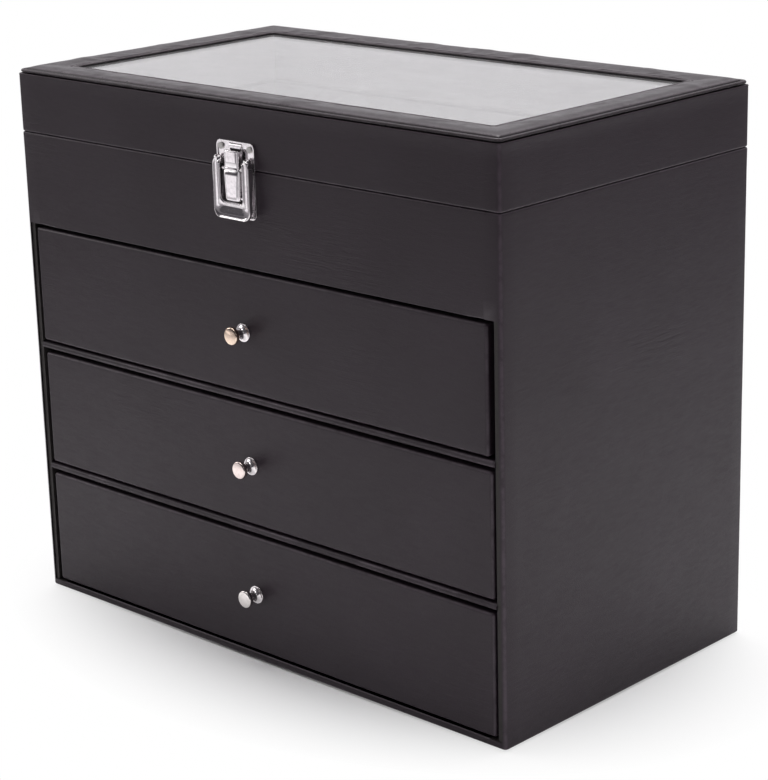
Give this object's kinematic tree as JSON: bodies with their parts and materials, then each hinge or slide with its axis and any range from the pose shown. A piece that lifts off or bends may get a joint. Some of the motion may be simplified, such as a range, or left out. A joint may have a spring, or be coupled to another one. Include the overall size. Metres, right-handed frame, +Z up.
{
  "type": "pen collector chest",
  "caption": "Pen chest wrapped in charcoal leather, with a glass-topped hinged lid, drawers holding grooved velvet pen trays, small turned metal knobs and a chrome draw latch.",
  "frame": {"origin": "centre of the underside of the foot felt, on the surface that the chest stands on", "axes": "+X to the right seen from the front, +Y to the rear, +Z up"},
  "size_m": [0.344, 0.2081, 0.3022],
  "materials": {
    "leather": "fine-grained, satin",
    "board": "fibreboard stained black, matte",
    "velvet": "short pile, matte",
    "felt": "pressed felt, matte",
    "glass": "clear, polished",
    "chrome": "polished",
    "steel": "nickel plated, satin"
  },
  "bodies": {
    "case": {"base_felt": "felt", "case_back": "board", "case_base": "board", "case_fascia": "board", "case_leather": "leather", "case_side_left": "board", "case_side_right": "board", "compartment_floor": "board", "compartment_lining": "velvet", "drawer_shelf_lower": "leather", "drawer_shelf_upper": "leather", "hinge_case_leaf_left": "steel", "hinge_case_leaf_right": "steel", "hinge_case_screws": "steel", "hinge_pins": "steel", "latch_base_plate": "chrome", "latch_base_screws": "steel", "latch_lever_rivets": "steel", "top_pen_tray": "velvet"},
    "lid": {"hinge_lid_leaf_left": "steel", "hinge_lid_leaf_right": "steel", "hinge_lid_screws": "steel", "keeper_screws": "steel", "latch_keeper_plate": "chrome", "lid_glass": "glass", "lid_leather": "leather", "lid_lining": "velvet", "lid_rail_back": "board", "lid_rail_front": "board", "lid_rail_left": "board", "lid_rail_right": "board", "lid_top_pad": "leather", "lid_window_board": "board"},
    "latch_lever": {"latch_lever": "chrome", "latch_claw_pin": "steel"},
    "latch_claw": {"latch_claw": "chrome"},
    "drawer_1": {"drawer_1_back": "board", "drawer_1_bottom": "board", "drawer_1_front": "leather", "drawer_1_knob": "chrome", "drawer_1_knob_screw": "steel", "drawer_1_pen_tray": "velvet", "drawer_1_side_left": "board", "drawer_1_side_right": "board"},
    "drawer_2": {"drawer_2_back": "board", "drawer_2_bottom": "board", "drawer_2_front": "leather", "drawer_2_knob": "chrome", "drawer_2_knob_screw": "steel", "drawer_2_pen_tray": "velvet", "drawer_2_side_left": "board", "drawer_2_side_right": "board"},
    "drawer_3": {"drawer_3_back": "board", "drawer_3_bottom": "board", "drawer_3_front": "leather", "drawer_3_knob": "chrome", "drawer_3_knob_screw": "steel", "drawer_3_pen_tray": "velvet", "drawer_3_side_left": "board", "drawer_3_side_right": "board"}
  },
  "joints": [
    {"name": "lid_hinge", "type": "hinge", "parent": "case", "child": "lid", "pos_m": [0, 0.0995, 0.266], "axis": [-1, 0, 0], "range_deg": [0, 95]},
    {"name": "latch_lever_swing", "type": "hinge", "parent": "case", "child": "latch_lever", "pos_m": [0, -0.1002, 0.271], "axis": [-1, 0, 0], "range_deg": [-4, 100]},
    {"name": "latch_claw_swing", "type": "hinge", "parent": "latch_lever", "child": "latch_claw", "pos_m": [0, -0.1004, 0.2665], "axis": [-1, 0, 0], "range_deg": [-115, 6]},
    {"name": "drawer_1_slide", "type": "slide", "parent": "case", "child": "drawer_1", "axis": [0, -1, 0], "range_m": [0, 0.145]},
    {"name": "drawer_2_slide", "type": "slide", "parent": "case", "child": "drawer_2", "axis": [0, -1, 0], "range_m": [0, 0.145]},
    {"name": "drawer_3_slide", "type": "slide", "parent": "case", "child": "drawer_3", "axis": [0, -1, 0], "range_m": [0, 0.145]}
  ],
  "couplings": [
    {"joint": "latch_claw_swing", "follows": "latch_lever_swing", "ratio": -1.1}
  ]
}
